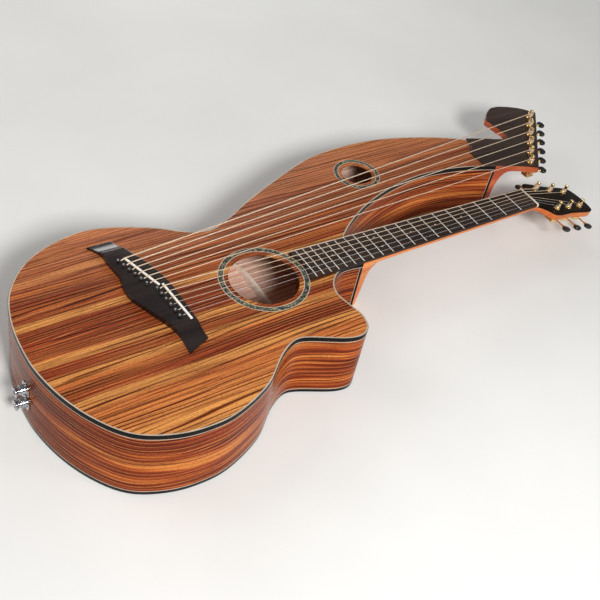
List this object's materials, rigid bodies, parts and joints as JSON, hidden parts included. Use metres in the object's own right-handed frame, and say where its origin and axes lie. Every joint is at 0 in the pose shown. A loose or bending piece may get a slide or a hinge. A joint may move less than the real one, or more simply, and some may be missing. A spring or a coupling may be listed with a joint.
{
  "type": "harp guitar",
  "caption": "Acoustic harp guitar: a hollow cutaway body whose rim runs on into a hollow harp arm with its own hooked head, beside a fretted neck, both strung.",
  "frame": {"origin": "on the outside of the flat back, on the centre line of the neck, under the theoretical saddle line (one scale length from the nut)", "axes": "+X along the instrument from the tail towards the headstock, +Y towards the harp arm (the bass side), +Z out of the back towards the strings"},
  "size_m": [1.0972, 0.4373, 0.1269],
  "materials": {
    "striped_top": "gloss lacquer over striped brown and gold wood",
    "side_wood": "gloss lacquer over striped red-brown wood",
    "mahogany": "satin, orange-brown",
    "dark_wood": "satin, nearly black with a grey grain",
    "spruce": "bare, pale",
    "black_binding": "gloss black",
    "black_plastic": "gloss black",
    "bone": "polished off-white bone",
    "shell": "polished shell between light lines",
    "gold": "polished gold plate",
    "chrome": "polished",
    "steel": "plain steel bar",
    "plain_string": "bright drawn steel",
    "wound_string": "bronze winding"
  },
  "bodies": {
    "instrument": {"soundboard": "striped_top", "back": "side_wood", "sides": "side_wood", "binding_top": "black_binding", "binding_back": "black_binding", "rosette_main": "shell", "rosette_arm": "shell", "neck_block": "mahogany", "tail_block": "mahogany", "arm_block": "mahogany", "crossed_braces": "spruce", "bridge_plate": "spruce", "bridge": "dark_wood", "saddle_guitar": "bone", "saddle_subbass": "bone", "fingerboard": "dark_wood", "nut": "bone", "neck": "mahogany", "truss_rod": "steel", "head_veneer": "dark_wood", "harp_head": "mahogany", "harp_head_veneer": "dark_wood", "jack_upper": "chrome", "jack_lower": "chrome", "string_1": "plain_string", "string_2": "plain_string", "string_3": "wound_string", "string_4": "wound_string", "string_5": "wound_string", "string_6": "wound_string", "subbass_string_1": "wound_string", "subbass_string_2": "wound_string", "subbass_string_3": "wound_string", "subbass_string_4": "wound_string", "subbass_string_5": "wound_string", "subbass_string_6": "wound_string"},
    "guitar_tuner_post_1": {"guitar_tuner_post_1": "gold"},
    "guitar_tuner_button_1": {"guitar_tuner_button_1": "black_plastic"},
    "guitar_tuner_post_2": {"guitar_tuner_post_2": "gold"},
    "guitar_tuner_button_2": {"guitar_tuner_button_2": "black_plastic"},
    "guitar_tuner_post_3": {"guitar_tuner_post_3": "gold"},
    "guitar_tuner_button_3": {"guitar_tuner_button_3": "black_plastic"},
    "guitar_tuner_post_4": {"guitar_tuner_post_4": "gold"},
    "guitar_tuner_button_4": {"guitar_tuner_button_4": "black_plastic"},
    "guitar_tuner_post_5": {"guitar_tuner_post_5": "gold"},
    "guitar_tuner_button_5": {"guitar_tuner_button_5": "black_plastic"},
    "guitar_tuner_post_6": {"guitar_tuner_post_6": "gold"},
    "guitar_tuner_button_6": {"guitar_tuner_button_6": "black_plastic"},
    "harp_tuner_post_1": {"harp_tuner_post_1": "gold"},
    "harp_tuner_button_1": {"harp_tuner_button_1": "black_plastic"},
    "harp_tuner_post_2": {"harp_tuner_post_2": "gold"},
    "harp_tuner_button_2": {"harp_tuner_button_2": "black_plastic"},
    "harp_tuner_post_3": {"harp_tuner_post_3": "gold"},
    "harp_tuner_button_3": {"harp_tuner_button_3": "black_plastic"},
    "harp_tuner_post_4": {"harp_tuner_post_4": "gold"},
    "harp_tuner_button_4": {"harp_tuner_button_4": "black_plastic"},
    "harp_tuner_post_5": {"harp_tuner_post_5": "gold"},
    "harp_tuner_button_5": {"harp_tuner_button_5": "black_plastic"},
    "harp_tuner_post_6": {"harp_tuner_post_6": "gold"},
    "harp_tuner_button_6": {"harp_tuner_button_6": "black_plastic"}
  },
  "joints": [
    {"name": "guitar_tuner_button_1_turn", "type": "hinge", "parent": "instrument", "child": "guitar_tuner_button_1", "pos_m": [0.70019, 0.02764, 0.06301], "axis": [0, 1, 0], "continuous": true},
    {"name": "guitar_tuner_post_1_turn", "type": "hinge", "parent": "instrument", "child": "guitar_tuner_post_1", "pos_m": [0.7, 0.02764, 0.08219], "axis": [0.2981, 0, 0.9545], "continuous": true},
    {"name": "guitar_tuner_button_2_turn", "type": "hinge", "parent": "instrument", "child": "guitar_tuner_button_2", "pos_m": [0.73561, 0.02392, 0.05196], "axis": [0, 1, 0], "continuous": true},
    {"name": "guitar_tuner_post_2_turn", "type": "hinge", "parent": "instrument", "child": "guitar_tuner_post_2", "pos_m": [0.73542, 0.02392, 0.07113], "axis": [0.2981, 0, 0.9545], "continuous": true},
    {"name": "guitar_tuner_button_3_turn", "type": "hinge", "parent": "instrument", "child": "guitar_tuner_button_3", "pos_m": [0.77102, 0.02021, 0.0409], "axis": [0, 1, 0], "continuous": true},
    {"name": "guitar_tuner_post_3_turn", "type": "hinge", "parent": "instrument", "child": "guitar_tuner_post_3", "pos_m": [0.77083, 0.02021, 0.06007], "axis": [0.2981, 0, 0.9545], "continuous": true},
    {"name": "guitar_tuner_button_4_turn", "type": "hinge", "parent": "instrument", "child": "guitar_tuner_button_4", "pos_m": [0.70019, -0.02764, 0.06301], "axis": [0, -1, 0], "continuous": true},
    {"name": "guitar_tuner_post_4_turn", "type": "hinge", "parent": "instrument", "child": "guitar_tuner_post_4", "pos_m": [0.7, -0.02764, 0.08219], "axis": [0.2981, 0, 0.9545], "continuous": true},
    {"name": "guitar_tuner_button_5_turn", "type": "hinge", "parent": "instrument", "child": "guitar_tuner_button_5", "pos_m": [0.73561, -0.02392, 0.05196], "axis": [0, -1, 0], "continuous": true},
    {"name": "guitar_tuner_post_5_turn", "type": "hinge", "parent": "instrument", "child": "guitar_tuner_post_5", "pos_m": [0.73542, -0.02392, 0.07113], "axis": [0.2981, 0, 0.9545], "continuous": true},
    {"name": "guitar_tuner_button_6_turn", "type": "hinge", "parent": "instrument", "child": "guitar_tuner_button_6", "pos_m": [0.77102, -0.02021, 0.0409], "axis": [0, -1, 0], "continuous": true},
    {"name": "guitar_tuner_post_6_turn", "type": "hinge", "parent": "instrument", "child": "guitar_tuner_post_6", "pos_m": [0.77083, -0.02021, 0.06007], "axis": [0.2981, 0, 0.9545], "continuous": true},
    {"name": "harp_tuner_button_1_turn", "type": "hinge", "parent": "instrument", "child": "harp_tuner_button_1", "pos_m": [0.82963, 0.18242, 0.0755], "axis": [0.9997, 0, -0.0252], "continuous": true},
    {"name": "harp_tuner_post_1_turn", "type": "hinge", "parent": "instrument", "child": "harp_tuner_post_1", "pos_m": [0.83011, 0.18832, 0.09474], "axis": [0.0252, 0, 0.9997], "continuous": true},
    {"name": "harp_tuner_button_2_turn", "type": "hinge", "parent": "instrument", "child": "harp_tuner_button_2", "pos_m": [0.80922, 0.15999, 0.07601], "axis": [0.9997, 0, -0.0252], "continuous": true},
    {"name": "harp_tuner_post_2_turn", "type": "hinge", "parent": "instrument", "child": "harp_tuner_post_2", "pos_m": [0.80971, 0.16589, 0.09526], "axis": [0.0252, 0, 0.9997], "continuous": true},
    {"name": "harp_tuner_button_3_turn", "type": "hinge", "parent": "instrument", "child": "harp_tuner_button_3", "pos_m": [0.78882, 0.13757, 0.07652], "axis": [0.9997, 0, -0.0252], "continuous": true},
    {"name": "harp_tuner_post_3_turn", "type": "hinge", "parent": "instrument", "child": "harp_tuner_post_3", "pos_m": [0.78931, 0.14347, 0.09577], "axis": [0.0252, 0, 0.9997], "continuous": true},
    {"name": "harp_tuner_button_4_turn", "type": "hinge", "parent": "instrument", "child": "harp_tuner_button_4", "pos_m": [0.76842, 0.11514, 0.07704], "axis": [0.9997, 0, -0.0252], "continuous": true},
    {"name": "harp_tuner_post_4_turn", "type": "hinge", "parent": "instrument", "child": "harp_tuner_post_4", "pos_m": [0.7689, 0.12104, 0.09628], "axis": [0.0252, 0, 0.9997], "continuous": true},
    {"name": "harp_tuner_button_5_turn", "type": "hinge", "parent": "instrument", "child": "harp_tuner_button_5", "pos_m": [0.74802, 0.09271, 0.07755], "axis": [0.9997, 0, -0.0252], "continuous": true},
    {"name": "harp_tuner_post_5_turn", "type": "hinge", "parent": "instrument", "child": "harp_tuner_post_5", "pos_m": [0.7485, 0.09861, 0.0968], "axis": [0.0252, 0, 0.9997], "continuous": true},
    {"name": "harp_tuner_button_6_turn", "type": "hinge", "parent": "instrument", "child": "harp_tuner_button_6", "pos_m": [0.72762, 0.07028, 0.07807], "axis": [0.9997, 0, -0.0252], "continuous": true},
    {"name": "harp_tuner_post_6_turn", "type": "hinge", "parent": "instrument", "child": "harp_tuner_post_6", "pos_m": [0.7281, 0.07618, 0.09731], "axis": [0.0252, 0, 0.9997], "continuous": true}
  ],
  "couplings": [
    {"joint": "guitar_tuner_post_1_turn", "follows": "guitar_tuner_button_1_turn", "ratio": -0.055556},
    {"joint": "guitar_tuner_post_2_turn", "follows": "guitar_tuner_button_2_turn", "ratio": -0.055556},
    {"joint": "guitar_tuner_post_3_turn", "follows": "guitar_tuner_button_3_turn", "ratio": -0.055556},
    {"joint": "guitar_tuner_post_4_turn", "follows": "guitar_tuner_button_4_turn", "ratio": 0.055556},
    {"joint": "guitar_tuner_post_5_turn", "follows": "guitar_tuner_button_5_turn", "ratio": 0.055556},
    {"joint": "guitar_tuner_post_6_turn", "follows": "guitar_tuner_button_6_turn", "ratio": 0.055556},
    {"joint": "harp_tuner_post_1_turn", "follows": "harp_tuner_button_1_turn", "ratio": -0.055556},
    {"joint": "harp_tuner_post_2_turn", "follows": "harp_tuner_button_2_turn", "ratio": -0.055556},
    {"joint": "harp_tuner_post_3_turn", "follows": "harp_tuner_button_3_turn", "ratio": -0.055556},
    {"joint": "harp_tuner_post_4_turn", "follows": "harp_tuner_button_4_turn", "ratio": -0.055556},
    {"joint": "harp_tuner_post_5_turn", "follows": "harp_tuner_button_5_turn", "ratio": -0.055556},
    {"joint": "harp_tuner_post_6_turn", "follows": "harp_tuner_button_6_turn", "ratio": -0.055556}
  ]
}
